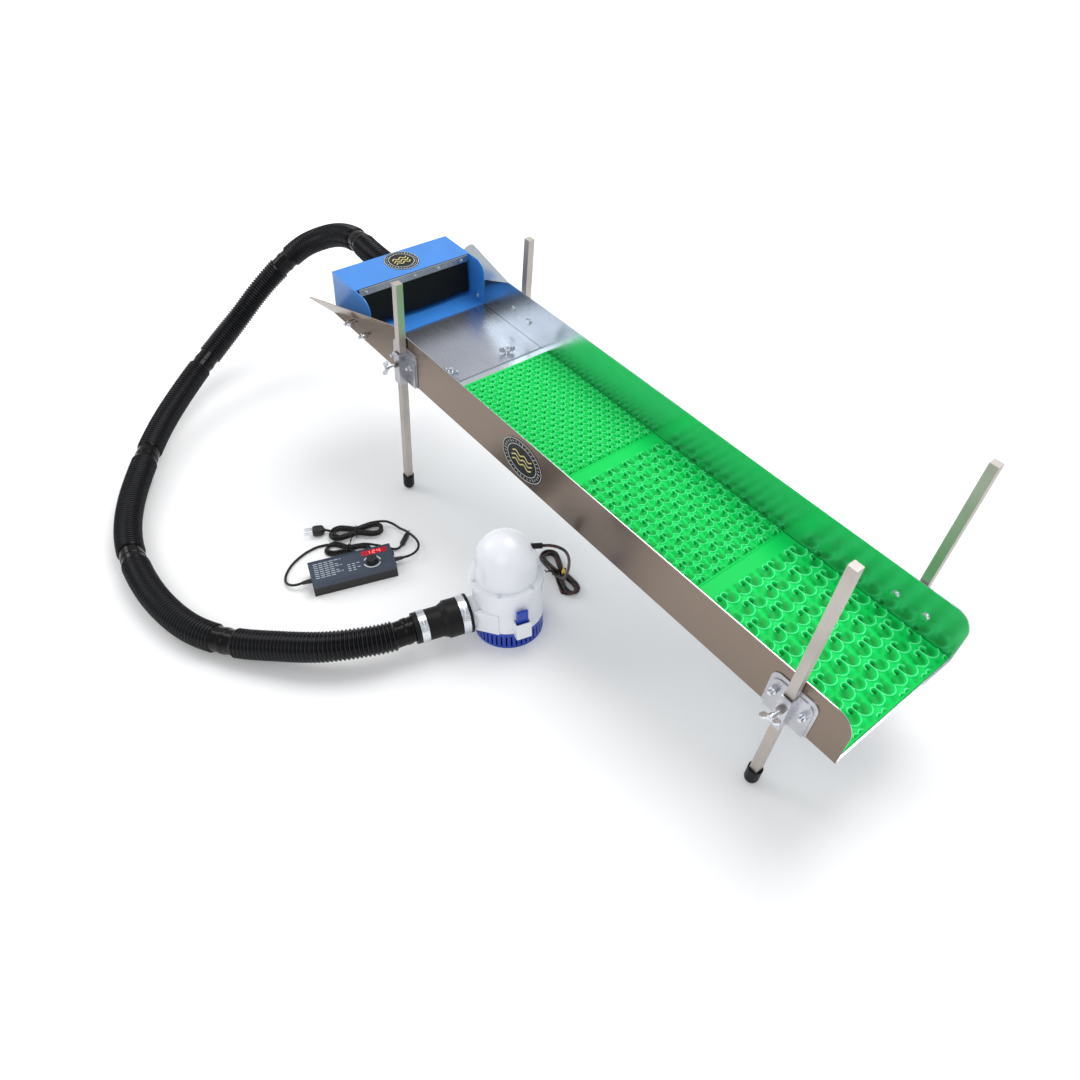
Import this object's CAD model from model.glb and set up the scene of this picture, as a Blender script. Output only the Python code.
"""The looks of the sluice kit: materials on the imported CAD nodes, and detailed
pieces for the mats, the hose, the leads, the flap and the small trim. Metres."""

import math

import bpy
import numpy as np
from mathutils import Matrix, Vector


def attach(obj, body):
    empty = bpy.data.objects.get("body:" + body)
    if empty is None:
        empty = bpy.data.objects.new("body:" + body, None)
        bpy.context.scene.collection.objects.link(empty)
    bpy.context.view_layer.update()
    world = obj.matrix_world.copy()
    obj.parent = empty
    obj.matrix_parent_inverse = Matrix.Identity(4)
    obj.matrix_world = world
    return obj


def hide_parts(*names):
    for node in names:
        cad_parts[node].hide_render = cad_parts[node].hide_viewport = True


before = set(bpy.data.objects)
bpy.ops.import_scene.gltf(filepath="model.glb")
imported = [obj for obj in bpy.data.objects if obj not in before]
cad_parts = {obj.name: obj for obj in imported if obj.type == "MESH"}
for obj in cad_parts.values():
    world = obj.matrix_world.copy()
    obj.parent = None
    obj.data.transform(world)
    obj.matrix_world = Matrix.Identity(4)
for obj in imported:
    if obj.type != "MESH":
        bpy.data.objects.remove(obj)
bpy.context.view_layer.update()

MM = 0.001

KIT_MIDDLE = (586, -125.5)
SLOPE = math.radians(7)
FOOT_R = 10.5
TAIL_LEG_X = 1105
TAIL_DROP = 151
TROUGH_LIFT = (FOOT_R + TAIL_LEG_X * math.sin(SLOPE)
               + (TAIL_DROP - FOOT_R) * math.cos(SLOPE))
HALF_W = 127
SHEET = 1.6
BOX_TOP = 88
ROOF_FRONT = 87

MAT_HALF_W = 124.8

CASE_AT = (369.5, -347)
CASE_TURN = math.radians(71)
CASE_H = 29
KNOB_AT = (34, -7)
DISPLAY_AT = (42, 17.5)

LEAD_D = 4.5
PUMP_LEAD_D = 5


def floor_point(x, y, z):
    """A point measured from the foot of the trough's head, in the frame's metres."""
    return Vector((x - KIT_MIDDLE[0], y - KIT_MIDDLE[1], z)) * MM


TROUGH = (Matrix.Translation(floor_point(0, 0, TROUGH_LIFT))
          @ Matrix.Rotation(SLOPE, 4, "Y"))


def trough_point(x, y, z):
    """A point measured along, across and above the trough, in the frame's metres."""
    return TROUGH @ (Vector((x, y, z)) * MM)


# ---- camera and stage ----

CAMERA_AT = (1428.7, -781.5, 1038.15)
CAMERA_LOOK = (-0.58627, 0.47094, -0.65916)
CAMERA_UP = (-0.50451, 0.42437, 0.75192)
CAMERA_LENS = 28.87
SENSOR_W = 36
VIEW_DEPTH = 50

# name, place, aim and diameter in metres, and power in watts
LIGHTS = [
    ("key", (-0.2, 1.3, 2.9), (-0.1, -0.1, 0.1), 2.2, 52),
    ("front_fill", (1.5, -2.0, 2.3), (0, 0, 0.1), 1.8, 15),
    ("left_fill", (-2.4, -1.2, 1.9), (0, 0, 0.1), 1.4, 15),
]

FLOOR_SIZE = 40
FLOOR_Z = -0.0004

SKY_LOW = (0.86, 0.86, 0.88, 1)
SKY_HIGH = (0.98, 0.99, 1.0, 1)
SKY_HIGH_FROM = 0.65
SKY_STRENGTH = 0.66


def add_camera():
    data = bpy.data.cameras.new("camera")
    data.lens = CAMERA_LENS
    data.sensor_width = SENSOR_W
    data.clip_end = VIEW_DEPTH
    camera = bpy.data.objects.new("camera", data)
    bpy.context.collection.objects.link(camera)
    back = -Vector(CAMERA_LOOK).normalized()
    right = Vector(CAMERA_UP).cross(back).normalized()
    up = back.cross(right)
    turn = Matrix((right, up, back)).transposed().to_4x4()
    camera.matrix_world = Matrix.Translation(floor_point(*CAMERA_AT)) @ turn
    bpy.context.scene.camera = camera


def add_area_light(name, at, aim, size, power):
    data = bpy.data.lights.new(name, "AREA")
    data.shape = "DISK"
    data.size = size
    data.energy = power
    light = bpy.data.objects.new(name, data)
    light.location = at
    light.rotation_euler = (Vector(aim) - Vector(at)).to_track_quat("-Z", "Y").to_euler()
    bpy.context.collection.objects.link(light)


def add_floor():
    """A plain pale floor. Its faint glow, stronger far out, keeps it white."""
    bpy.ops.mesh.primitive_plane_add(size=FLOOR_SIZE, location=(0, 0, FLOOR_Z))
    floor = bpy.context.object
    floor.name = "stage_floor"
    look = Look("floor_white", (0.9, 0.9, 0.9), roughness=0.8, Specular_IOR_Level=0.2)
    look.tint(look.grain(0.4), (0.88, 0.88, 0.885), (0.91, 0.91, 0.91))
    look.glow_outwards(start=0.7, stop=3.0, low=0.08, high=0.50)
    floor.data.materials.append(look.material)


def add_sky():
    """Soft studio surroundings, brighter overhead than towards the horizon."""
    world = bpy.data.worlds.new("studio")
    bpy.context.scene.world = world
    world.use_nodes = True
    nodes, links = world.node_tree.nodes, world.node_tree.links
    axes = nodes.new("ShaderNodeSeparateXYZ")
    ramp = nodes.new("ShaderNodeValToRGB")
    links.new(nodes.new("ShaderNodeTexCoord").outputs["Generated"], axes.inputs["Vector"])
    links.new(axes.outputs["Z"], ramp.inputs["Fac"])
    low, high = ramp.color_ramp.elements
    low.color = SKY_LOW
    high.color = SKY_HIGH
    high.position = SKY_HIGH_FROM
    links.new(ramp.outputs["Color"], nodes["Background"].inputs["Color"])
    nodes["Background"].inputs["Strength"].default_value = SKY_STRENGTH


def add_stage():
    add_floor()
    add_sky()
    for light in LIGHTS:
        add_area_light(*light)
    bpy.context.scene.view_settings.view_transform = "Standard"


# ---- materials ----

# most of a noise's values lie between these two
NOISE_LOW = 0.3
NOISE_HIGH = 0.7
NOISE_ROUGHNESS = 0.55

TILT = (0, SLOPE, 0)


class Look:
    """A Principled material, and short calls that add procedural detail to it."""

    def __init__(self, name, colour, metallic=0.0, roughness=0.5, **sockets):
        self.material = bpy.data.materials.new(name)
        self.material.use_nodes = True
        self.tree = self.material.node_tree
        self.shader = self.tree.nodes["Principled BSDF"]
        self.set("Base Color", (*colour, 1))
        self.set("Metallic", metallic)
        self.set("Roughness", roughness)
        for socket, value in sockets.items():
            self.set(socket.replace("_", " "), value)

    def set(self, socket, value):
        self.shader.inputs[socket].default_value = value

    def node(self, kind, **settings):
        made = self.tree.nodes.new("ShaderNode" + kind)
        for key, value in settings.items():
            setattr(made, key, value)
        return made

    def link(self, start, end):
        self.tree.links.new(start, end)

    def place(self, size, turn=(0, 0, 0), shift=(0, 0, 0)):
        """Object coordinates, turned and then divided by size, in metres."""
        size = size if hasattr(size, "__len__") else (size,) * 3
        source = self.node("TexCoord")
        mapping = self.node("Mapping", vector_type="TEXTURE")
        mapping.inputs["Location"].default_value = shift
        mapping.inputs["Rotation"].default_value = turn
        mapping.inputs["Scale"].default_value = size
        self.link(source.outputs["Object"], mapping.inputs["Vector"])
        return mapping.outputs["Vector"]

    def grain(self, size, turn=(0, 0, 0), detail=3.0):
        """Noise whose features are about size metres, a number or one per axis."""
        noise = self.node("TexNoise")
        noise.inputs["Scale"].default_value = 1
        noise.inputs["Detail"].default_value = detail
        noise.inputs["Roughness"].default_value = NOISE_ROUGHNESS
        self.link(self.place(size, turn), noise.inputs["Vector"])
        return noise.outputs["Fac"]

    def spread(self, factor, low, high, start=NOISE_LOW, stop=NOISE_HIGH):
        """factor from start..stop, spread over low..high."""
        ramp = self.node("MapRange")
        self.link(factor, ramp.inputs["Value"])
        for socket, value in zip(("From Min", "From Max", "To Min", "To Max"),
                                 (start, stop, low, high)):
            ramp.inputs[socket].default_value = value
        return ramp.outputs["Result"]

    def ramp(self, factor, *stops):
        """Base colour that runs through (position, colour) stops."""
        ramp = self.node("ValToRGB")
        elements = ramp.color_ramp.elements
        while len(elements) < len(stops):
            elements.new(0.5)
        for element, (position, colour) in zip(elements, stops):
            element.position = position
            element.color = (*colour, 1)
        self.link(factor, ramp.inputs["Fac"])
        self.link(ramp.outputs["Color"], self.shader.inputs["Base Color"])

    def tint(self, factor, dark, light):
        """Base colour that wanders between two colours with a noise."""
        self.ramp(factor, (NOISE_LOW, dark), (NOISE_HIGH, light))

    def gloss(self, factor, low, high):
        """Roughness that wanders between two values with a noise."""
        self.link(self.spread(factor, low, high), self.shader.inputs["Roughness"])

    def bump(self, height, distance):
        """Raises the surface by height times distance, in metres."""
        bump = self.node("Bump")
        bump.inputs["Strength"].default_value = 1
        bump.inputs["Distance"].default_value = distance
        self.link(height, bump.inputs["Height"])
        self.link(bump.outputs["Normal"], self.shader.inputs["Normal"])

    def trough_place(self, axis, start, stop):
        """0 to 1 between two places along one trough axis, in millimetres."""
        axes = self.node("SeparateXYZ")
        self.link(self.place(MM, TILT, TROUGH.translation), axes.inputs["Vector"])
        return self.spread(axes.outputs[axis], 0, 1, start, stop)

    def glow_outwards(self, start, stop, low, high):
        """White glow that grows with the distance from the middle, in metres."""
        reach = self.node("VectorMath", operation="LENGTH")
        self.link(self.place(1), reach.inputs[0])
        self.link(self.spread(reach.outputs["Value"], low, high, start, stop),
                  self.shader.inputs["Emission Strength"])
        self.set("Emission Color", (1, 1, 1, 1))

    def over(self, factor, colour):
        """Lays a colour over the linked base colour by factor."""
        mix = self.node("Mix", data_type="RGBA")
        base = self.shader.inputs["Base Color"]
        self.link(base.links[0].from_socket, mix.inputs["A"])
        mix.inputs["B"].default_value = (*colour, 1)
        self.link(factor, mix.inputs["Factor"])
        self.link(mix.outputs["Result"], base)


def brushed(name, dark, light, grain_size, rough, bump=0.00002):
    """Rolled or brushed metal with fine lines along one direction."""
    look = Look(name, light, metallic=1.0)
    lines = look.grain(grain_size, TILT, detail=4)
    clouds = look.grain(0.12, TILT, detail=2)
    look.tint(clouds, dark, light)
    look.gloss(lines, *rough)
    look.bump(lines, bump)
    return look.material


def moulded(name, colour, shade=0.8, rough=(0.3, 0.42), texture=0.0012, bump=0.00004, **sockets):
    """Moulded plastic or rubber with a fine texture and slow colour changes."""
    look = Look(name, colour, **sockets)
    dark = tuple(c * shade for c in colour)
    look.tint(look.grain(0.05), dark, colour)
    fine = look.grain(texture, detail=4)
    look.gloss(fine, *rough)
    look.bump(fine, bump)
    return look.material


def metals():
    return {
        "trough": trough_material(),
        "slick": brushed("slick_aluminium", (0.46, 0.48, 0.54), (0.56, 0.58, 0.66),
                         (0.12, 0.0009, 0.0009), rough=(0.26, 0.29), bump=0.000001),
        "clamp": brushed("clamp_aluminium", (0.40, 0.40, 0.43), (0.66, 0.67, 0.71),
                         (0.03, 0.0008, 0.0008), rough=(0.20, 0.36)),
        "bar": brushed("bar_aluminium", (0.46, 0.42, 0.39), (0.62, 0.58, 0.545),
                       (0.0012, 0.0012, 0.10), rough=(0.50, 0.60)),
        "dark_zinc": brushed("dark_zinc", (0.16, 0.15, 0.14), (0.32, 0.30, 0.28),
                             (0.001, 0.001, 0.001), rough=(0.25, 0.4)),
        "zinc": zinc_material(),
    }


def plastics():
    return {
        "blue_coat": moulded("blue_powder_coat", (0.045, 0.25, 0.74), 0.9, (0.26, 0.36),
                             0.0009, 0.00002, Coat_Weight=0.2, Coat_Roughness=0.2),
        "mat": mat_material(),
        "white": moulded("white_abs", (0.84, 0.86, 0.91), 0.96, (0.2, 0.28), 0.0016, 0.00001),
        "pump_blue": moulded("blue_abs", (0.012, 0.055, 0.46), 0.85, (0.2, 0.3), 0.0016, 0.00001),
        "rubber": moulded("black_rubber", (0.007, 0.007, 0.008), 0.6, (0.36, 0.5),
                          0.0008, 0.00005, Specular_IOR_Level=0.2),
        "hose": hose_material(),
        "jacket": moulded("black_jacket", (0.006, 0.006, 0.007), 0.7, (0.24, 0.34),
                          0.002, 0.00002, Specular_IOR_Level=0.35),
        "wire_brown": moulded("brown_jacket", (0.055, 0.018, 0.012), 0.7, (0.24, 0.34),
                              0.002, 0.00002),
        "case": moulded("black_case", (0.010, 0.010, 0.012), 0.8, (0.36, 0.48), 0.0007, 0.00005),
        "label": moulded("slate_label", (0.040, 0.058, 0.090), 0.9, (0.26, 0.34),
                         0.0015, 0.000006),
        "yellow": moulded("yellow_crimp", (0.75, 0.48, 0.05), 0.9, (0.25, 0.35)),
    }


def prints_and_lights():
    return {
        "print": moulded("pale_print", (0.72, 0.74, 0.70), 0.9, (0.3, 0.4)),
        "print_gold": moulded("gold_print", (0.66, 0.60, 0.22), 0.9, (0.3, 0.4)),
        "print_dim": moulded("grey_print", (0.50, 0.55, 0.62), 0.85, (0.3, 0.4)),
        "digits": digits_material(),
        "window": window_material(),
        "emblem": emblem_material(),
    }


def trough_material():
    """Mill-finish sheet, warmer and duller on the near wall's outer face and flare."""
    look = Look("mill_finish_aluminium", (0.7, 0.7, 0.7), metallic=1.0)
    clouds = look.grain((0.35, 0.12, 0.05), TILT, detail=3)
    look.tint(clouds, (0.58, 0.65, 0.69), (0.68, 0.75, 0.78))
    outer = look.trough_place("Y", 1.1 - HALF_W, 0.3 - HALF_W)
    look.over(outer, (0.26, 0.205, 0.165))
    lines = look.grain((0.06, 0.0007, 0.0007), TILT, detail=3)
    look.gloss(lines, 0.23, 0.26)
    look.bump(lines, 0.0000015)
    return look.material


def mat_material():
    """Green rubber that is darker in its pockets and paler on its ridges."""
    look = Look("green_mat", (0.0, 0.55, 0.08), Specular_IOR_Level=0.12)
    height = look.trough_place("Z", SHEET + 1.0, SHEET + 6.8)
    look.ramp(height, (0.03, (0.0, 0.11, 0.015)), (0.24, (0.0, 0.36, 0.05)),
              (0.46, (0.0, 0.66, 0.105)), (0.74, (0.004, 0.74, 0.14)),
              (0.92, (0.13, 0.95, 0.38)))
    fine = look.grain(0.0007, detail=4)
    look.gloss(fine, 0.34, 0.46)
    look.bump(fine, 0.00003)
    return look.material


def hose_material():
    """Glossy black plastic, deep black between the ribs and scuffed on their crests."""
    look = Look("black_hose", (0.003, 0.0035, 0.005), Specular_IOR_Level=0.2)
    ridge = look.node("Attribute", attribute_name="ridge")
    look.ramp(ridge.outputs["Fac"], (0.45, (0.001, 0.001, 0.0015)), (0.95, (0.009, 0.010, 0.013)))
    fine = look.grain(0.003, detail=4)
    look.gloss(fine, 0.12, 0.19)
    look.bump(fine, 0.00001)
    return look.material


def zinc_material():
    """Bright plated steel with a faint spangle."""
    look = Look("zinc_plate", (0.76, 0.78, 0.80), metallic=1.0)
    spangle = look.grain(0.0022, detail=2)
    look.tint(spangle, (0.62, 0.65, 0.70), (0.88, 0.91, 0.95))
    look.gloss(look.grain(0.001), 0.20, 0.32)
    look.bump(look.grain(0.0008), 0.00002)
    return look.material


def digits_material():
    """The lit strokes of the display."""
    look = Look("lit_digits", (0.9, 0.25, 0.25), roughness=0.3, Emission_Strength=1.2)
    look.set("Emission Color", (1, 0.12, 0.12, 1))
    look.tint(look.grain(0.004), (0.8, 0.15, 0.15), (1.0, 0.35, 0.3))
    return look.material


def window_material():
    """The display's red window, faintly lit from behind."""
    look = Look("red_window", (0.40, 0.012, 0.03), roughness=0.08,
                Emission_Strength=0.15)
    look.set("Emission Color", (0.8, 0.02, 0.05, 1))
    look.tint(look.grain((0.006, 0.006, 0.01)), (0.22, 0.006, 0.014), (0.55, 0.02, 0.045))
    return look.material


def emblem_material():
    """The emblems' glossy black plates."""
    look = Look("emblem_black", (0.012, 0.014, 0.016), Specular_IOR_Level=0.2)
    look.tint(look.grain(0.01), (0.008, 0.010, 0.012), (0.02, 0.024, 0.028))
    look.gloss(look.grain(0.003), 0.18, 0.3)
    return look.material


BEVEL_SEGMENTS = 2
BEVEL_ANGLE = math.radians(32)


def paint_node(name, material):
    """Gives a CAD node's object this material."""
    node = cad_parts[name]
    for place in node.material_slots:
        place.material = material


def soften(name, width):
    """Rounds a CAD node's sharp edges with a bevel, in millimetres."""
    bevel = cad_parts[name].modifiers.new("edge", "BEVEL")
    bevel.width = width * MM
    bevel.segments = BEVEL_SEGMENTS
    bevel.limit_method = "ANGLE"
    bevel.angle_limit = BEVEL_ANGLE


# ---- mesh helpers ----

CURVE_STEPS = 16
TINY = 1e-9
LATHE_SIDES = 32
PRINT_T = 0.12


def new_piece(name, points, faces, material, body="kit", smooth=True):
    mesh = bpy.data.meshes.new(name)
    mesh.from_pydata([tuple(p) for p in points], [], faces)
    mesh.update()
    mesh.materials.append(material)
    if smooth:
        mesh.shade_smooth()
    piece = bpy.data.objects.new(name, mesh)
    bpy.context.collection.objects.link(piece)
    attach(piece, body)
    return piece


def shade_by_angle(piece, angle=35):
    """Smooth faces, with edges sharper than the angle kept crisp."""
    mesh = piece.data
    mesh.shade_smooth()
    mesh.set_sharp_from_angle(angle=math.radians(angle))


def smooth_path(points, step):
    """A centripetal Catmull-Rom curve through the points, resampled evenly."""
    p = [Vector(q) for q in points]
    p = [2 * p[0] - p[1]] + p + [2 * p[-1] - p[-2]]
    dense = []
    for knots in zip(p, p[1:], p[2:], p[3:]):
        dense += curve_span(*knots)
    dense.append(p[-2])
    line = np.array(dense)
    lengths = np.linalg.norm(np.diff(line, axis=0), axis=1)
    along = np.concatenate(([0], np.cumsum(lengths)))
    count = max(2, round(along[-1] / step))
    marks = np.linspace(0, along[-1], count + 1)
    return np.stack([np.interp(marks, along, line[:, k]) for k in range(3)], axis=1)


def curve_span(a, b, c, d):
    """Points of the curve from b up to c, by the Barry-Goldman pyramid."""
    times = [0.0]
    for u, v in ((a, b), (b, c), (c, d)):
        times.append(times[-1] + max((v - u).length, TINY) ** 0.5)
    t0, t1, t2, t3 = times
    points = []
    for i in range(CURVE_STEPS):
        t = t1 + (t2 - t1) * i / CURVE_STEPS
        ab = a.lerp(b, (t - t0) / (t1 - t0))
        bc = b.lerp(c, (t - t1) / (t2 - t1))
        cd = c.lerp(d, (t - t2) / (t3 - t2))
        abc = ab.lerp(bc, (t - t0) / (t2 - t0))
        bcd = bc.lerp(cd, (t - t1) / (t3 - t1))
        points.append(abc.lerp(bcd, (t - t1) / (t2 - t1)))
    return points


def path_length(path):
    return float(np.linalg.norm(np.diff(path, axis=0), axis=1).sum())


def path_normals(path):
    """A normal and a binormal at each point, carried along without twist."""
    tangents = np.gradient(path, axis=0)
    tangents /= np.linalg.norm(tangents, axis=1)[:, None]
    normal = np.cross(tangents[0], (0.0, 0.0, 1.0))
    if np.linalg.norm(normal) < TINY:
        normal = np.array((1.0, 0.0, 0.0))
    frames = []
    for tangent in tangents:
        normal = normal - tangent * normal.dot(tangent)
        normal /= np.linalg.norm(normal)
        frames.append((normal, np.cross(tangent, normal)))
    return frames


def ring_faces(rings, sides):
    """Quads between rings of points that follow each other, and both end faces."""
    faces = []
    for i in range(rings - 1):
        for k in range(sides):
            a, b = i * sides + k, i * sides + (k + 1) % sides
            faces.append((a, b, b + sides, a + sides))
    faces.append(tuple(reversed(range(sides))))
    last = (rings - 1) * sides
    faces.append(tuple(range(last, last + sides)))
    return faces


def tube_mesh(path, radii, sides, squash=(1.0, 1.0)):
    """Rings of points along the path, closed at both ends."""
    angles = np.linspace(0, 2 * math.pi, sides, endpoint=False)
    points = []
    for centre, radius, (normal, other) in zip(path, radii, path_normals(path)):
        for angle in angles:
            points.append(centre + radius * (squash[0] * math.cos(angle) * normal
                                             + squash[1] * math.sin(angle) * other))
    return points, ring_faces(len(path), sides)


def lathe(name, profile, at, aim, material):
    """Turns a profile of (radius, height) in millimetres about aim, from at."""
    turn = Vector(aim).to_track_quat("Z", "Y").to_matrix().to_4x4()
    place = Matrix.Translation(at) @ turn
    points, rings = [], []
    for radius, height in profile:
        count = LATHE_SIDES if radius else 1
        rings.append(list(range(len(points), len(points) + count)))
        for k in range(count):
            angle = 2 * math.pi * k / LATHE_SIDES
            points.append(place @ (Vector((radius * math.cos(angle),
                                           radius * math.sin(angle), height)) * MM))
    faces = []
    for low, high in zip(rings, rings[1:]):
        faces += lathe_faces(low, high)
    piece = new_piece(name, points, faces, material)
    shade_by_angle(piece)
    return piece


def lathe_faces(low, high):
    """Faces between two rings of a turned piece; a ring on its axis is one point."""
    faces = []
    for k in range(LATHE_SIDES):
        j = (k + 1) % LATHE_SIDES
        if len(low) == 1:
            faces.append((low[0], high[j], high[k]))
        elif len(high) == 1:
            faces.append((low[k], low[j], high[0]))
        else:
            faces.append((low[k], low[j], high[j], high[k]))
    return faces


def ribbon(name, lines, width, place, material):
    """Thin raised strips that follow lines of 2-D points, in millimetres."""
    points, faces = [], []
    for line in lines:
        line = [Vector(p) for p in line]
        first = len(points)
        for i, spot in enumerate(line):
            before = line[max(i - 1, 0)]
            after = line[min(i + 1, len(line) - 1)]
            heading = (after - before).normalized()
            left = Vector((-heading.y, heading.x)) * width / 2
            for corner, height in ((spot + left, 0), (spot - left, 0),
                                   (spot - left, PRINT_T), (spot + left, PRINT_T)):
                points.append(place @ (Vector((corner.x, corner.y, height)) * MM))
        faces += [tuple(first + corner for corner in face)
                  for face in ring_faces(len(line), 4)]
    return new_piece(name, points, faces, material, smooth=False)


def smooth_step(value, low, high):
    t = np.clip((value - low) / (high - low), 0, 1)
    return t * t * (3 - 2 * t)


def squarish(value, power):
    """A cosine or sine pushed outwards, which turns a circle into a soft square."""
    return math.copysign(abs(value) ** power, value)


# ---- hose: its route as in the CAD model ----

HOSE_ROUTE = [
    (-10, 4, 336.2), (-60, 5, 342.2), (-140, 14, 344), (-215, 18, 330), (-285, 10, 305),
    (-340, -15, 275), (-375, -55, 235), (-393, -115, 185), (-392, -175, 140),
    (-372, -240, 107), (-330, -325, 75), (-235, -440, 48), (-130, -525, 35),
    (-35, -585, 28), (50, -620, 25), (135, -636, 24.2), (240, -638, 24.2),
    (335, -620, 24.2), (405, -584, 27), (468, -535, 36), (524, -485, 46),
    (560, -432, 50), (577, -394, 50), (585, -358, 50),
]
RIDGE_PITCH = 6.3 * MM
RIDGE_STEPS = 8
HOSE_VALLEY = 21.3 * MM
HOSE_RIDGE = 24.0 * MM
FIRST_CUFF = 111.5 * MM
CUFF_SPACING = 297.5 * MM
CUFF_HALF = 19 * MM
CUFF_R = 20.6 * MM
CUFF_BAND_HALF = 4 * MM
CUFF_BAND_R = 21.6 * MM
HOSE_SIDES = 40


def hose_radius(along):
    """Ribs all the way, broken by a narrower smooth cuff at regular distances."""
    turns = (along - FIRST_CUFF) / CUFF_SPACING
    from_cuff = abs(turns - round(turns)) * CUFF_SPACING
    if from_cuff < CUFF_BAND_HALF:
        return CUFF_BAND_R
    if from_cuff < CUFF_HALF:
        return CUFF_R
    wave = 0.5 - 0.5 * math.cos(2 * math.pi * along / RIDGE_PITCH)
    return HOSE_VALLEY + (HOSE_RIDGE - HOSE_VALLEY) * wave


def add_hose(looks):
    """The ribbed hose. Its ridge attribute tells the material where the crests are."""
    path = smooth_path([floor_point(*p) for p in HOSE_ROUTE], RIDGE_PITCH / RIDGE_STEPS)
    total = path_length(path)
    marks = np.linspace(0, total, len(path))
    radii = [hose_radius(mark) for mark in marks]
    points, faces = tube_mesh(path, radii, HOSE_SIDES)
    hose = new_piece("feed_hose", points, faces, looks["hose"])
    ridge = hose.data.attributes.new("ridge", "FLOAT", "POINT")
    heights = (np.array(radii) - HOSE_VALLEY) / (HOSE_RIDGE - HOSE_VALLEY)
    ridge.data.foreach_set("value", np.repeat(heights, HOSE_SIDES))
    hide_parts("hose")
    print("hose length", round(total, 3))


# ---- leads: routes as in the CAD model, and the turns of each tied hank ----

PUMP_LEAD_ROUTE = [
    (664.5, -162.9, 165), (671, -154, 164.5), (677, -144, 160), (680, -133, 149),
    (679, -124, 132), (673, -116, 110), (665, -110, 88), (655, -104, 66),
    (644, -98, 45), (631, -92, 28), (616, -87, 17), (601, -84.5, 10),
]
DC_LEAD_ROUTE = [
    (340.9, -430.2, 12), (337.2, -439.3, 10.8), (328, -446, 7.5), (314, -448, 3.8),
    (299.5, -442.5, 2.6), (285, -429, 2.6), (275, -414, 2.6), (268, -397, 2.6),
    (264, -378, 2.6), (265, -358, 2.6),
]
DC_TAIL_ROUTE = [
    (330, -279, 5.5), (339, -271, 4), (348, -265, 3.5),
    (356, -261, 3.7), (361.5, -256, 4.2), (363, -250, 4.7), (360.4, -244.2, 5),
]
MAINS_LEAD_ROUTE = [
    (396.3, -263.1, 12), (399.3, -253, 12), (400, -242.5, 12.6), (396.5, -232, 13.3),
    (388, -224, 13.6), (376, -219.5, 13.6), (365, -218.5, 13.6), (354, -219, 13.6),
    (343, -220, 13.4), (333, -221, 11.5), (322, -222, 8.5), (311, -223, 7.5),
    (300, -226, 8.5), (290, -233, 10.6),
]
MAINS_TAIL_ROUTE = [
    (242, -321, 4.2), (239, -327, 7), (236.5, -332, 9),
]
LEAD_STEP = 1.5 * MM
LEAD_SIDES = 12
TWIST_RINGS = 26

# the middle of each hank, its first pass's heading in degrees and its runs' length
PUMP_HANK = ((598, -72), 164, 86)
DC_HANK = ((308, -323), 46, 54)
MAINS_HANK = ((278, -287), 242, 62)
WIDE_LOOP = 14.7
TIGHT_LOOP = 10.1
MAINS_GROW = 1.0
# heights of the middles of the layers of turns
PUMP_LAYERS = (2.7, 7.8)
LEAD_LAYERS = (2.6, 7.1, 11.6)

# how far wide and tight passes lie from the middle line at the tie, in diameters
WIDE_PINCH = 1.54
TIGHT_PINCH = 0.53
# how the passes differ in length, and the places along one that carry a route point
RUN_SPREAD = 0.07
RUN_RHYTHM = 2.3
RUN_MARKS = (-0.5, -0.24, 0.0, 0.24, 0.45)
FOLD_STEPS = 8


def headings(degrees):
    """Unit vectors along a heading on the floor, and to its left."""
    turn = math.radians(degrees)
    return (Vector((math.cos(turn), math.sin(turn), 0)),
            Vector((-math.sin(turn), math.cos(turn), 0)))


def on_hank(hank, x, y, z):
    """A route point measured along and across a hank from its middle."""
    middle, heading, _ = hank
    along, left = headings(heading)
    spot = Vector((*middle, 0)) + along * x + left * y
    return spot.x, spot.y, z


def hank_points(hank, side, lanes, thickness, first=-0.5, passes=7):
    """Route points of a hank's turns, pinched together at the middle by its tie.
    side is 1 if the first pass lies left of the middle. lanes holds each pair of
    passes' (loop radius, height); first is where along the run the first pass starts."""
    _, _, run = hank
    points = []
    for i in range(passes):
        forward = 1 if i % 2 == 0 else -1
        radius, height = lanes[i // 2]
        pinched = thickness * (WIDE_PINCH if radius > WIDE_LOOP - 1 else TIGHT_PINCH)
        stretch = run * (1 + RUN_SPREAD * math.sin(RUN_RHYTHM * i))
        for share in RUN_MARKS:
            if i or share >= first:
                reach = abs(share) / RUN_MARKS[-1]
                edge = pinched + (radius - pinched) * smooth_step(reach, 0, 1)
                points.append(on_hank(hank, forward * stretch * share,
                                      side * forward * edge, height))
        if i < passes - 1:
            points += hank_fold(hank, side, forward, stretch / 2,
                                lanes[i // 2], lanes[(i + 1) // 2])
    return points


def hank_fold(hank, side, forward, end, lane, next_lane):
    """The half turn from one pass to the next, at one end of a hank."""
    (radius, height), (next_radius, next_height) = lane, next_lane
    points = []
    for step in range(1, FOLD_STEPS):
        share = step / FOLD_STEPS
        angle = math.pi * share
        bend = radius + (next_radius - radius) * share
        points.append(on_hank(hank, forward * (end + bend * math.sin(angle)),
                              side * forward * bend * math.cos(angle),
                              height + (next_height - height) * share))
    return points


def add_lead(name, nodes, points, diameter, looks):
    path = smooth_path([floor_point(*p) for p in points], LEAD_STEP)
    mesh, faces = tube_mesh(path, [diameter / 2 * MM] * len(path), LEAD_SIDES)
    lead = new_piece(name, mesh, faces, looks["jacket"])
    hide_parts(*nodes)
    return lead


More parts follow.
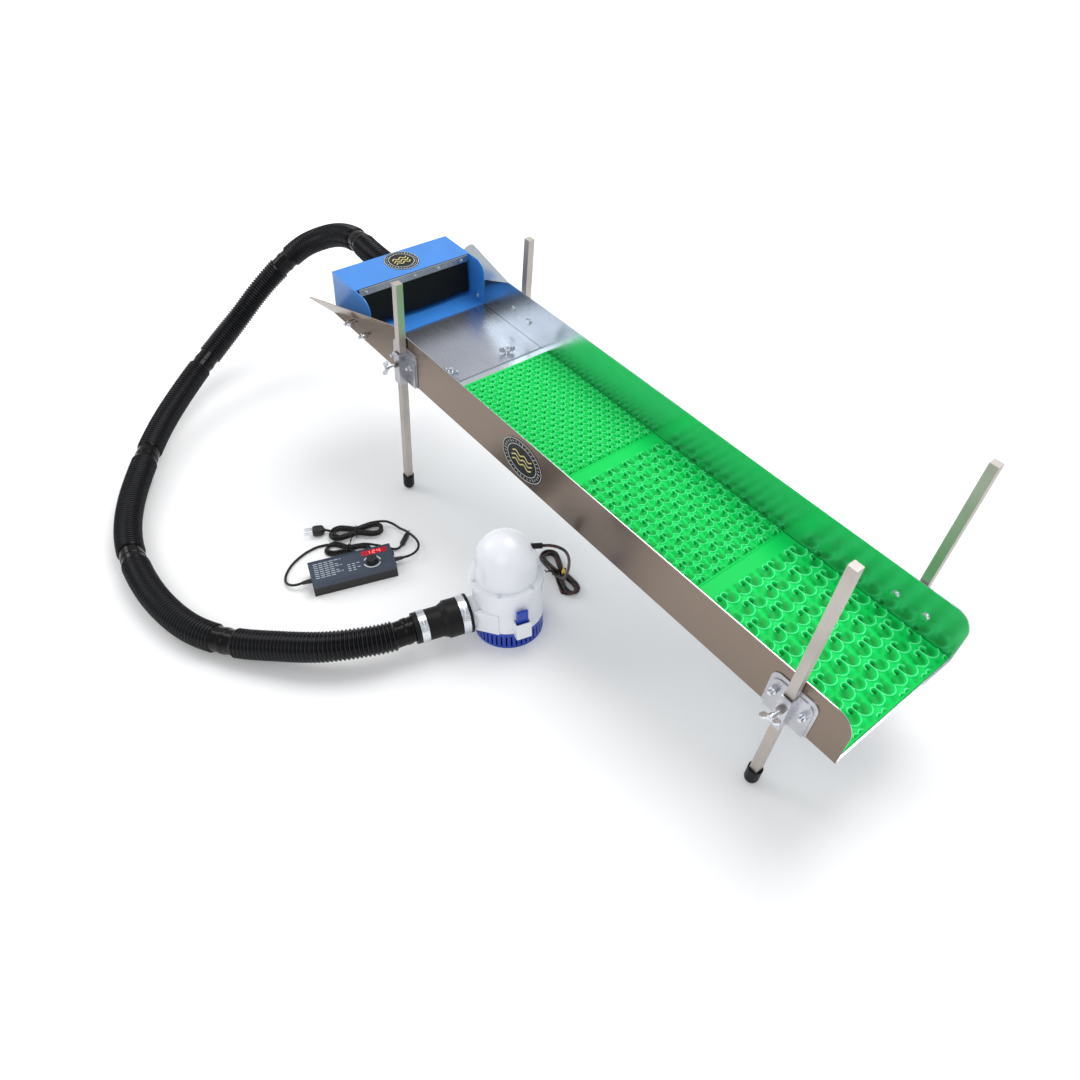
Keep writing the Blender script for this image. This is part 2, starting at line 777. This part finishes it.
def add_second_colour(lead, material):
    """Half of a twin lead's faces take another colour, in a slow spiral."""
    lead.data.materials.append(material)
    for face in lead.data.polygons:
        ring, side = divmod(face.index, LEAD_SIDES)
        turned = side + LEAD_SIDES * ring / TWIST_RINGS
        if turned % LEAD_SIDES < LEAD_SIDES / 2:
            face.material_index = 1


# ---- the hanks' wire ties ----

TIE_R = 1.1
TIE_FLAT = (0.7, 1.6)
TIE_SIDES = 8
TIE_STEPS = 32
TIE_START = 0.9
TIE_ADVANCE = 0.06 * MM
TIE_END_R = 0.8
TIE_END_STEPS = 15
TIE_TWIST = 9
TIE_END_LEAN = 3
# where an end starts and how far it reaches, across the hank and upwards
TIE_END_ACROSS = (3, 14)
TIE_END_UP = (1, 4)


def add_tie(name, hank, half_width, height, looks):
    """A wire tie round a hank, with its two ends twisted together."""
    middle, heading, _ = hank
    along, left = headings(heading)
    centre = floor_point(*middle, 0)
    loop = []
    for step in range(TIE_STEPS + 1):
        angle = 2 * math.pi * step / TIE_STEPS + TIE_START
        wide, tall = squarish(math.cos(angle), 0.5), squarish(math.sin(angle), 0.5)
        rise = height / 2 * (1 + tall) + TIE_R * TIE_FLAT[1]
        loop.append(centre + left * (wide * half_width * MM) + along * (TIE_ADVANCE * step)
                    + Vector((0, 0, rise * MM)))
    points, faces = tube_mesh(np.array(loop), [TIE_R * MM] * len(loop), TIE_SIDES, TIE_FLAT)
    new_piece(name, points, faces, looks["jacket"])
    for number, lean in enumerate((-TIE_END_LEAN, TIE_END_LEAN)):
        tail = tie_end(loop[-1], along, left, lean, math.pi * number)
        ends, end_faces = tube_mesh(tail, [TIE_END_R * MM] * len(tail), TIE_SIDES)
        new_piece(f"{name}_end_{number + 1}", ends, end_faces, looks["jacket"])


def tie_end(top, along, left, lean, phase):
    """One twisted end of a tie, which leaves the top of its loop and leans aside."""
    tail = []
    for step in range(TIE_END_STEPS + 1):
        share = step / TIE_END_STEPS
        twist = TIE_TWIST * share + phase
        across = TIE_END_ACROSS[0] + TIE_END_ACROSS[1] * share
        up = TIE_END_UP[0] + TIE_END_UP[1] * share
        tail.append(top + left * (across * MM)
                    + along * ((lean * share ** 3 + TIE_END_R * math.cos(twist)) * MM)
                    + Vector((0, 0, (up + TIE_END_R * math.sin(twist)) * MM)))
    return np.array(tail)


# ---- the three leads ----

# the pump lead's loose end, from its last fold round to the top of the hank
PUMP_LEAD_END = [
    (-47, -13.8, 3.0), (-54.5, -9, 4.5), (-57, -1, 7.5), (-53, 6, 10.8),
    (-43, 9, 13.0), (-28, 6, 13.2), (-14, -1, 13.2),
]
TERMINAL_PROFILE = [
    (0, 0), (2.9, 0), (3.3, 1), (3.3, 9), (2.8, 10.5), (1.6, 11), (1.6, 17), (0, 17),
]
DC_PLUG_AT = (358, -241, 5)
DC_PLUG_HEADING = 127
DC_PLUG_PROFILE = [
    (0, -4), (2.5, -4), (2.9, -2), (4.2, 0), (4.8, 2), (4.8, 9), (4.3, 9.6), (4.3, 10.6),
    (4.8, 11.2), (4.8, 13), (4.3, 13.6), (4.3, 14.6), (4.8, 15.2), (4.8, 27), (4.2, 28), (0, 28),
]
DC_PIN_PROFILE = [
    (0, 27.5), (2.75, 27.5), (2.75, 37.4), (2.4, 38), (1.1, 38), (1.1, 34), (0, 34),
]
MAINS_PLUG = (Matrix.Translation(floor_point(*MAINS_TAIL_ROUTE[-1]))
              @ Matrix.Rotation(math.radians(MAINS_HANK[1]), 4, "Z"))
# distance along the plug, half width and half height of each section
MAINS_PLUG_SECTIONS = [
    (-3, 2.4, 2.4), (-1, 3.2, 3.0), (0, 6.5, 5.5), (2, 8.8, 7.2), (6, 9.8, 7.9),
    (16, 9.8, 7.9), (18.5, 9.4, 7.5), (20, 8.4, 6.6),
]
MAINS_PLUG_SIDES = 28
BLADE_SPREAD = 6.35
BLADE_HALF_T = 0.75
BLADE_OUTLINE = [(19, -3.1), (34.5, -3.1), (36, -1.8), (36, 1.8), (34.5, 3.1), (19, 3.1)]


def add_pump_lead(looks):
    low, high = PUMP_LAYERS
    lanes = [(WIDE_LOOP, high), (TIGHT_LOOP, high), (TIGHT_LOOP, low), (WIDE_LOOP, low)]
    turns = hank_points(PUMP_HANK, 1, lanes, PUMP_LEAD_D, first=0.1, passes=8)
    end = [on_hank(PUMP_HANK, *spot) for spot in PUMP_LEAD_END]
    aim = floor_point(*end[-1]) - floor_point(*end[-2])
    terminal = lathe("pump_lead_terminal", TERMINAL_PROFILE, floor_point(*end[-1]), aim,
                     looks["yellow"])
    lead = add_lead("pump_twin_lead", ["pump_lead", "pump_lead_hank"],
                    PUMP_LEAD_ROUTE + turns + end, PUMP_LEAD_D, looks)
    add_second_colour(lead, looks["wire_brown"])
    add_tie("pump_lead_tie", PUMP_HANK, 11.6, 10.2, looks)


def add_dc_lead(looks):
    low, high, _ = LEAD_LAYERS
    lanes = [(WIDE_LOOP, low), (TIGHT_LOOP, low), (TIGHT_LOOP, high), (WIDE_LOOP, high)]
    turns = hank_points(DC_HANK, 1, lanes, LEAD_D)
    at = floor_point(*DC_PLUG_AT)
    aim, _ = headings(DC_PLUG_HEADING)
    body = lathe("dc_plug_body", DC_PLUG_PROFILE, at, aim, looks["case"])
    pin = lathe("dc_plug_pin", DC_PIN_PROFILE, at, aim, looks["zinc"])
    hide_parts("dc_plug")
    add_lead("dc_output_lead", ["dc_lead", "dc_lead_hank"], DC_LEAD_ROUTE + turns + DC_TAIL_ROUTE,
             LEAD_D, looks)
    add_tie("dc_lead_tie", DC_HANK, 10.6, 9.4, looks)


def add_mains_lead(looks):
    low, middle, high = LEAD_LAYERS
    wide, tight = WIDE_LOOP + MAINS_GROW, TIGHT_LOOP + MAINS_GROW
    lanes = [(wide, high), (tight, high), (tight, middle), (wide, middle), (wide, low)]
    turns = hank_points(MAINS_HANK, -1, lanes, LEAD_D, passes=9)
    plug = [mains_plug_body(looks)] + mains_plug_blades(looks)
    add_lead("mains_input_lead", ["mains_lead", "mains_lead_hank"],
             MAINS_LEAD_ROUTE + turns + MAINS_TAIL_ROUTE,
             LEAD_D, looks)
    add_tie("mains_lead_tie", MAINS_HANK, 10.8, 13.8, looks)


def mains_plug_body(looks):
    """A moulded plug: rounded sections that swell from the lead to a flat face."""
    points = []
    for x, wide, tall in MAINS_PLUG_SECTIONS:
        for k in range(MAINS_PLUG_SIDES):
            angle = 2 * math.pi * k / MAINS_PLUG_SIDES
            points.append(MAINS_PLUG @ (Vector((x, wide * squarish(math.cos(angle), 0.6),
                                                tall * squarish(math.sin(angle), 0.6))) * MM))
    faces = ring_faces(len(MAINS_PLUG_SECTIONS), MAINS_PLUG_SIDES)
    body = new_piece("mains_plug_body", points, faces, looks["case"])
    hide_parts("mains_plug")
    return body


def mains_plug_blades(looks):
    count = len(BLADE_OUTLINE)
    faces = [tuple(range(count)), tuple(reversed(range(count, 2 * count)))]
    for k in range(count):
        j = (k + 1) % count
        faces.append((k, k + count, j + count, j))
    blades = []
    for name, y in (("live", BLADE_SPREAD), ("neutral", -BLADE_SPREAD)):
        points = [MAINS_PLUG @ (Vector((x, y + t, z)) * MM)
                  for t in (-BLADE_HALF_T, BLADE_HALF_T) for x, z in BLADE_OUTLINE]
        blade = new_piece(f"mains_blade_{name}", points, faces, looks["zinc"], smooth=False)
        blades.append(blade)
    return blades


# ---- mats ----

# Each mat repeats one pair of mirrored pockets: head, tail, pitch across the
# mat, flat margin at the head and size of the mesh grid.
MATS = {
    "mat_fine": (330, 614, 20.8, 3, 0.7),
    "mat_medium": (614.4, 894.8, 33.4, 22, 0.8),
    "mat_coarse": (895.2, 1183, 50.0, 24, 0.9),
}
ALONG_PITCH = 1.13
FIRST_POCKET = 0.3
MAT_BASE = 1.2
MAT_TOP = 7.0

# heights, as shares of the way from MAT_BASE to MAT_TOP
MAT_FLAT = 0.42
MAT_LAND = 0.50
SWELL = 0.09
RIPPLE = 0.05
# half a ridge's width in pitches, and the least that it may be in millimetres
RIDGE_HALF = 0.021
RIDGE_MIN_HALF = 0.62

# how far from a mat's edges its relief fades out and is gone, in millimetres
HEAD_FADE = 2
TAIL_FADE = (4, 2.5)
SIDE_FADE = (2, 0.8)

# One half of a pair of pockets, in pitches: x runs down the sluice, and y runs
# away from the pair's mirror line. An arc of the ridge is a centre, a radius and
# its end angles. A hollow is a centre and the radii of its floor and its rim.
BIG_ARC = ((0.0, 0.248), 0.236, -82, 72)
CURL_ARC = ((-0.135, 0.106), 0.106, 75, 270)
BAR_X, BAR_HALF = -0.05, 0.085
BOWL = ((-0.01, 0.248), 0.14, 0.235)
BOWL_DEPTH, BOWL_EXTRA_DEPTH = 0.20, 0.45
HOLE = ((-0.125, 0.104), 0.04, 0.10)
HOLE_DEPTH = 0.75
LEE = ((0.33, 0.16), 0.02, 0.15)
LEE_DEPTH, LEE_SQUASH = 0.42, 0.8


def arc_gap(x, y, centre, radius, start, stop):
    """Distance from an arc that runs anticlockwise from start to stop degrees."""
    dx, dy = x - centre[0], y - centre[1]
    angle = np.degrees(np.arctan2(dy, dx))
    turned = (angle - start) % 360
    inside = turned <= stop - start
    ends = [np.hypot(x - centre[0] - radius * math.cos(math.radians(a)),
                     y - centre[1] - radius * math.sin(math.radians(a)))
            for a in (start, stop)]
    return np.where(inside, np.abs(np.hypot(dx, dy) - radius), np.minimum(*ends))


def hollow(x, y, centre, floor_r, rim_r, squash=1.0):
    """1 on a hollow's floor and 0 outside its rim."""
    radius = np.hypot(x - centre[0], (y - centre[1]) * squash)
    return 1 - smooth_step(radius, floor_r, rim_r)


def pocket(x, y):
    """Distance from the pocket's ridge in pitches, and how deep it dips, 0 to 1."""
    y = np.abs(y)
    big = arc_gap(x, y, *BIG_ARC)
    curl = arc_gap(x, y, *CURL_ARC)
    bar = np.hypot(np.maximum(np.abs(x - BAR_X) - BAR_HALF, 0), y)
    bowl = hollow(x, y, *BOWL) * (BOWL_DEPTH + BOWL_EXTRA_DEPTH * smooth_step(x, -0.2, 0.2))
    hole = HOLE_DEPTH * hollow(x, y, *HOLE)
    lee = LEE_DEPTH * hollow(x, y, *LEE, LEE_SQUASH)
    return np.minimum(np.minimum(big, curl), bar), np.maximum(np.maximum(bowl, hole), lee)


def mat_heights(x, y, pitch):
    """Height over the mat, from 0 in the deepest hollow to 1 on the ridges."""
    u, v = x / pitch, y / pitch
    gaps, dips = [], []
    for shift_u, shift_v in ((0, 0), (ALONG_PITCH / 2, 0.5)):
        cell_u = (u - shift_u + ALONG_PITCH / 2) % ALONG_PITCH - ALONG_PITCH / 2
        cell_v = (v - shift_v + 0.5) % 1 - 0.5
        gap, dip = pocket(cell_u, cell_v)
        gaps.append(gap)
        dips.append(dip)
    gap = np.minimum(*gaps)
    dip = np.maximum(*dips)
    swell = SWELL * np.sin(2 * math.pi * (2 * u / ALONG_PITCH - 0.15))
    ripple = RIPPLE * np.sin(2 * math.pi * (3 * v + 2 * u / ALONG_PITCH))
    land = MAT_LAND + swell + ripple - MAT_LAND * dip
    half = max(RIDGE_HALF, RIDGE_MIN_HALF / pitch)
    ridge = np.exp(-(gap / half) ** 2)
    return land + (1 - land) * ridge


def mat_surface(head, tail, pitch, margin, step):
    """Grid of points over a mat's top, in the trough's millimetres."""
    nx, ny = round((tail - head) / step), round(2 * MAT_HALF_W / step)
    xs = np.linspace(head, tail, nx + 1)
    ys = np.linspace(-MAT_HALF_W, MAT_HALF_W, ny + 1)
    x, y = np.meshgrid(xs, ys, indexing="ij")
    relief = mat_heights(x - head - margin - FIRST_POCKET * pitch, y, pitch)
    fade = (smooth_step(x, head + margin, head + margin + HEAD_FADE)
            * (1 - smooth_step(x, tail - TAIL_FADE[0], tail - TAIL_FADE[1]))
            * (1 - smooth_step(np.abs(y), MAT_HALF_W - SIDE_FADE[0], MAT_HALF_W - SIDE_FADE[1])))
    z = SHEET + MAT_BASE + (MAT_TOP - MAT_BASE) * (MAT_FLAT + (relief - MAT_FLAT) * fade)
    return np.stack([x, y, z], axis=-1)


def mat_mesh(surface):
    """A closed mat: its top, its sides down to the trough and its flat underside."""
    rows, columns, _ = surface.shape
    top = surface.reshape(-1, 3)
    index = np.arange(rows * columns).reshape(rows, columns)
    quads = np.stack([index[:-1, :-1], index[1:, :-1], index[1:, 1:], index[:-1, 1:]],
                     axis=-1).reshape(-1, 4)
    rim = np.concatenate([index[:-1, 0], index[-1, :-1], index[:0:-1, -1], index[0, :0:-1]])
    under = top[rim].copy()
    under[:, 2] = SHEET
    first = len(top)
    faces = [tuple(q) for q in quads.tolist()]
    count = len(rim)
    for k in range(count):
        j = (k + 1) % count
        faces.append((int(rim[k]), first + k, first + j, int(rim[j])))
    faces.append(tuple(first + k for k in reversed(range(count))))
    return np.concatenate([top, under]), faces


def add_mat(name, looks):
    points, faces = mat_mesh(mat_surface(*MATS[name]))
    turn = np.array(TROUGH.to_3x3())
    placed = points * MM @ turn.T + np.array(TROUGH.translation)
    piece = new_piece(name + "_relief", placed, faces, looks["mat"])
    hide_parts(name)


# ---- flap ----

FLAP_W = 236
FLAP_DROP = 59
FLAP_T = 2
FLAP_SEAT = 0.1
FLAP_AXIS_DEPTH = 14
FLAP_COLUMNS = 60
FLAP_ROWS = 14
# the leaf's thickness at its upper and lower edges, as a share of the rest
FLAP_EDGE = 0.55
FLAP_CREASE = 50
# size, length and phase of each wave along the free edge
FLAP_WAVES = ((0.9, 21, 0), (0.6, 9, 1))


def flap_points():
    """Rows of points down the front and then the back of the leaf."""
    axis = trough_point(ROOF_FRONT + FLAP_T / 2 + FLAP_SEAT, 0, BOX_TOP - FLAP_AXIS_DEPTH)
    points = []
    for side in (1, -1):
        for j in range(FLAP_ROWS + 1):
            drop = FLAP_DROP * j / FLAP_ROWS
            thin = FLAP_EDGE if j in (0, FLAP_ROWS) else 1.0
            for i in range(FLAP_COLUMNS + 1):
                y = FLAP_W * (i / FLAP_COLUMNS - 0.5)
                wave = sum(size * math.sin(y / length + phase)
                           for size, length, phase in FLAP_WAVES)
                sway = (j / FLAP_ROWS) ** 2 * wave
                points.append(axis + Vector((side * FLAP_T / 2 * thin + sway, y, -drop)) * MM)
    return points


def flap_faces():
    """Both sides of the leaf, and the faces round its edge."""
    row = FLAP_COLUMNS + 1
    sheet = row * (FLAP_ROWS + 1)
    faces = []
    for j in range(FLAP_ROWS):
        for i in range(FLAP_COLUMNS):
            a = j * row + i
            faces.append((a, a + row, a + row + 1, a + 1))
            faces.append((sheet + a, sheet + a + 1, sheet + a + row + 1, sheet + a + row))
    rim = (list(range(row)) + [j * row + FLAP_COLUMNS for j in range(1, FLAP_ROWS + 1)]
           + [FLAP_ROWS * row + i for i in range(FLAP_COLUMNS - 1, -1, -1)]
           + [j * row for j in range(FLAP_ROWS - 1, 0, -1)])
    for k, a in enumerate(rim):
        b = rim[(k + 1) % len(rim)]
        faces.append((a, b, sheet + b, sheet + a))
    return faces


def add_flap(looks):
    """The hanging rubber leaf, a little wavy towards its free edge."""
    leaf = new_piece("flap_leaf", flap_points(), flap_faces(), looks["rubber"], body="flap")
    shade_by_angle(leaf, FLAP_CREASE)
    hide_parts("header_flap")


# ---- emblems ----

EMBLEM_T = 0.6
# place along the trough and up the wall or across the roof, and half width and height
WALL_EMBLEM = (572, 42, 48, 35)
ROOF_EMBLEM = (42, 2, 33, 33)
RIM_INSET = 1.2
INNER_RIM = 0.72
RIM_W = 0.9
TICKS = 32
TICK_SPAN = (0.80, 0.89)
LONG_TICK_SPAN = (0.78, 0.91)
TICK_W = 1.0
WAVE_LEVELS = (-0.24, 0.0, 0.24)
WAVE_REACH = 0.52
WAVE_RING = 0.62
WAVE_HEIGHT = 0.075
WAVE_RATE = 15
WAVE_POINTS = 40
WAVE_W = 2.1


def oval_line(half_x, half_y, start=0, stop=360, steps=72):
    return [(half_x * math.cos(math.radians(a)), half_y * math.sin(math.radians(a)))
            for a in np.linspace(start, stop, steps + 1)]


def add_emblem(node, place, half_x, half_y, looks):
    """A plain badge on the node's dark plate: two rims, ticks and three wave lines."""
    rims = [oval_line(half_x - RIM_INSET, half_y - RIM_INSET),
            oval_line(half_x * INNER_RIM, half_y * INNER_RIM)]
    ribbon(node + "_rims", rims, RIM_W, place, looks["print"])
    ticks = []
    for step in range(TICKS):
        a = 2 * math.pi * step / TICKS
        span = TICK_SPAN if step % 4 else LONG_TICK_SPAN
        ticks.append([(half_x * share * math.cos(a), half_y * share * math.sin(a))
                      for share in span])
    ribbon(node + "_ticks", ticks, TICK_W, place, looks["print"])
    waves = []
    for level in WAVE_LEVELS:
        reach = WAVE_REACH * half_x * math.sqrt(1 - (level / WAVE_RING) ** 2)
        waves.append([(x, half_y * (level + WAVE_HEIGHT * math.sin(x / half_x * WAVE_RATE)))
                      for x in np.linspace(-reach, reach, WAVE_POINTS)])
    ribbon(node + "_waves", waves, WAVE_W, place, looks["print_gold"])


def add_emblems(looks):
    x, z, *halves = WALL_EMBLEM
    wall = TROUGH @ Matrix.Translation(Vector((x, -HALF_W - EMBLEM_T, z)) * MM)
    wall = wall @ Matrix.Rotation(math.pi / 2, 4, "X")
    add_emblem("wall_emblem", wall, *halves, looks)
    x, y, *halves = ROOF_EMBLEM
    roof = TROUGH @ Matrix.Translation(Vector((x, y, BOX_TOP + EMBLEM_T)) * MM)
    roof = roof @ Matrix.Rotation(-math.pi / 2, 4, "Z")
    add_emblem("roof_emblem", roof, *halves, looks)


# ---- power supply's marks ----

CASE = (Matrix.Translation(floor_point(*CASE_AT, 0))
        @ Matrix.Rotation(CASE_TURN, 4, "Z"))
LABEL_DEPTH = 0.8
WINDOW_DEPTH = 0.35
DIAL_R = 14.3
DIAL_SPANS = ((-170, -25), (5, 60), (100, 150))
DIAL_STEPS = 24
DIAL_W = 2.2
RULE_W = 1.7
DIGITS = "124"
DIGIT_CORNER = (-12, -3.8)
DIGIT_PITCH = 9
DIGIT_W = 4.4
SEGMENT_H = 3.8
STROKE_W = 1.1
SEGMENTS = {"1": "bc", "2": "abged", "4": "fgbc"}
SEGMENT_LINES = {"a": ((0, 2), (1, 2)), "b": ((1, 2), (1, 1)), "c": ((1, 1), (1, 0)),
                 "d": ((1, 0), (0, 0)), "e": ((0, 0), (0, 1)), "f": ((0, 1), (0, 2)),
                 "g": ((0, 1), (1, 1))}
LABEL_ROWS = 8
LABEL_TOP = 20
ROW_STEP = 5.2
# each column's ends, its bars' width and their spacing
LEFT_COLUMN = (-64, -16, 7, 9)
RIGHT_COLUMN = (-8, 14, 5, 8)
RIGHT_FROM_ROW = 4


def add_supply_marks(looks):
    top = CASE @ Matrix.Translation((0, 0, (CASE_H - LABEL_DEPTH) * MM))
    arcs = (oval_line(DIAL_R, DIAL_R, *span, DIAL_STEPS) for span in DIAL_SPANS)
    dial = [[(KNOB_AT[0] + x, KNOB_AT[1] + y) for x, y in arc] for arc in arcs]
    ribbon("dial_scale", dial, DIAL_W, top, looks["print"])
    ribbon("label_rules", label_rules(), RULE_W, top, looks["print_dim"])
    window = CASE @ Matrix.Translation((0, 0, (CASE_H - WINDOW_DEPTH) * MM))
    ribbon("display_digits", digit_strokes(), STROKE_W, window, looks["digits"])


def digit_strokes():
    """The lit segments of the display's three digits."""
    strokes = []
    for place, digit in enumerate(DIGITS):
        left = DISPLAY_AT[0] + DIGIT_CORNER[0] + DIGIT_PITCH * place
        foot = DISPLAY_AT[1] + DIGIT_CORNER[1]
        for segment in SEGMENTS[digit]:
            strokes.append([(left + DIGIT_W * x, foot + SEGMENT_H * y)
                            for x, y in SEGMENT_LINES[segment]])
    return strokes


def label_rules():
    """Two columns of short bars, like the lines of a plain rating label."""
    bars = []
    for row in range(LABEL_ROWS):
        y = LABEL_TOP - ROW_STEP * row
        left, right, width, pitch = LEFT_COLUMN
        stop = right - width * (row * 5 % 3)
        for start in range(left, stop, pitch):
            bars.append([(start, y), (min(start + width, stop), y)])
        if row >= RIGHT_FROM_ROW:
            left, right, width, pitch = RIGHT_COLUMN
            for start in range(left, right - 6 * (row % 2), pitch):
                bars.append([(start, y), (start + width, y)])
    return bars


# ---- the CAD nodes' materials, and their bevels in millimetres ----

LEGS = ("head_near", "head_far", "tail_near", "tail_far")
LEG_BARS = ["leg_" + leg for leg in LEGS]
FEET = ["foot_" + leg for leg in LEGS]
THUMB_SCREWS = ["thumb_screw_" + leg for leg in LEGS]
HEADER_NUTS = ["header_wing_nut_" + end
               for end in ("near_rear", "near_front", "far_rear", "far_front")]
WING_NUTS = HEADER_NUTS + ["slick_wing_nut_near", "slick_wing_nut_far"]
LATCHES = ["pump_latch_front", "pump_latch_back"]

NODE_LOOKS = {
    "trough": ["trough"],
    "slick": ["slick_plate"],
    "clamp": ["flap_strip", "leg_plates", "leg_sleeves", "pump_motor"],
    "bar": LEG_BARS,
    "dark_zinc": ["sleeve_nuts"],
    "zinc": ["flap_screws", "header_bolts", "slick_studs", "clamp_bolts", "pump_screws",
             "hose_clamps"] + WING_NUTS + THUMB_SCREWS,
    "blue_coat": ["header_box"],
    "emblem": ["wall_emblem", "roof_emblem"],
    "white": ["pump_body", "pump_dome"],
    "pump_blue": ["pump_strainer"] + LATCHES,
    "rubber": ["flap_edge", "pump_gland", "coupling"] + FEET,
    "case": ["pump_impeller", "supply_base", "supply_knob"],
    "label": ["supply_lid"],
    "window": ["supply_display"],
}
BEVELS = {
    0.25: ["hose_clamps"],
    0.3: ["flap_strip", "flap_screws", "pump_screws"],
    0.4: ["clamp_bolts", "sleeve_nuts", "slick_studs"],
    0.5: ["leg_plates", "leg_sleeves", "pump_strainer", "header_bolts"] + WING_NUTS + THUMB_SCREWS,
    0.6: ["supply_knob", "pump_gland"],
    0.7: ["header_box"],
    0.8: ["coupling"] + LEG_BARS + FEET,
    0.9: LATCHES,
    1.0: ["pump_dome"],
    1.2: ["supply_lid"],
    1.6: ["supply_base"],
}


def main():
    add_camera()
    looks = metals() | plastics() | prints_and_lights()
    add_stage()
    add_hose(looks)
    add_pump_lead(looks)
    add_dc_lead(looks)
    add_mains_lead(looks)
    for name in MATS:
        add_mat(name, looks)
    add_flap(looks)
    add_emblems(looks)
    add_supply_marks(looks)
    for look, names in NODE_LOOKS.items():
        for name in names:
            paint_node(name, looks[look])
    for width, names in BEVELS.items():
        for name in names:
            soften(name, width)


main()
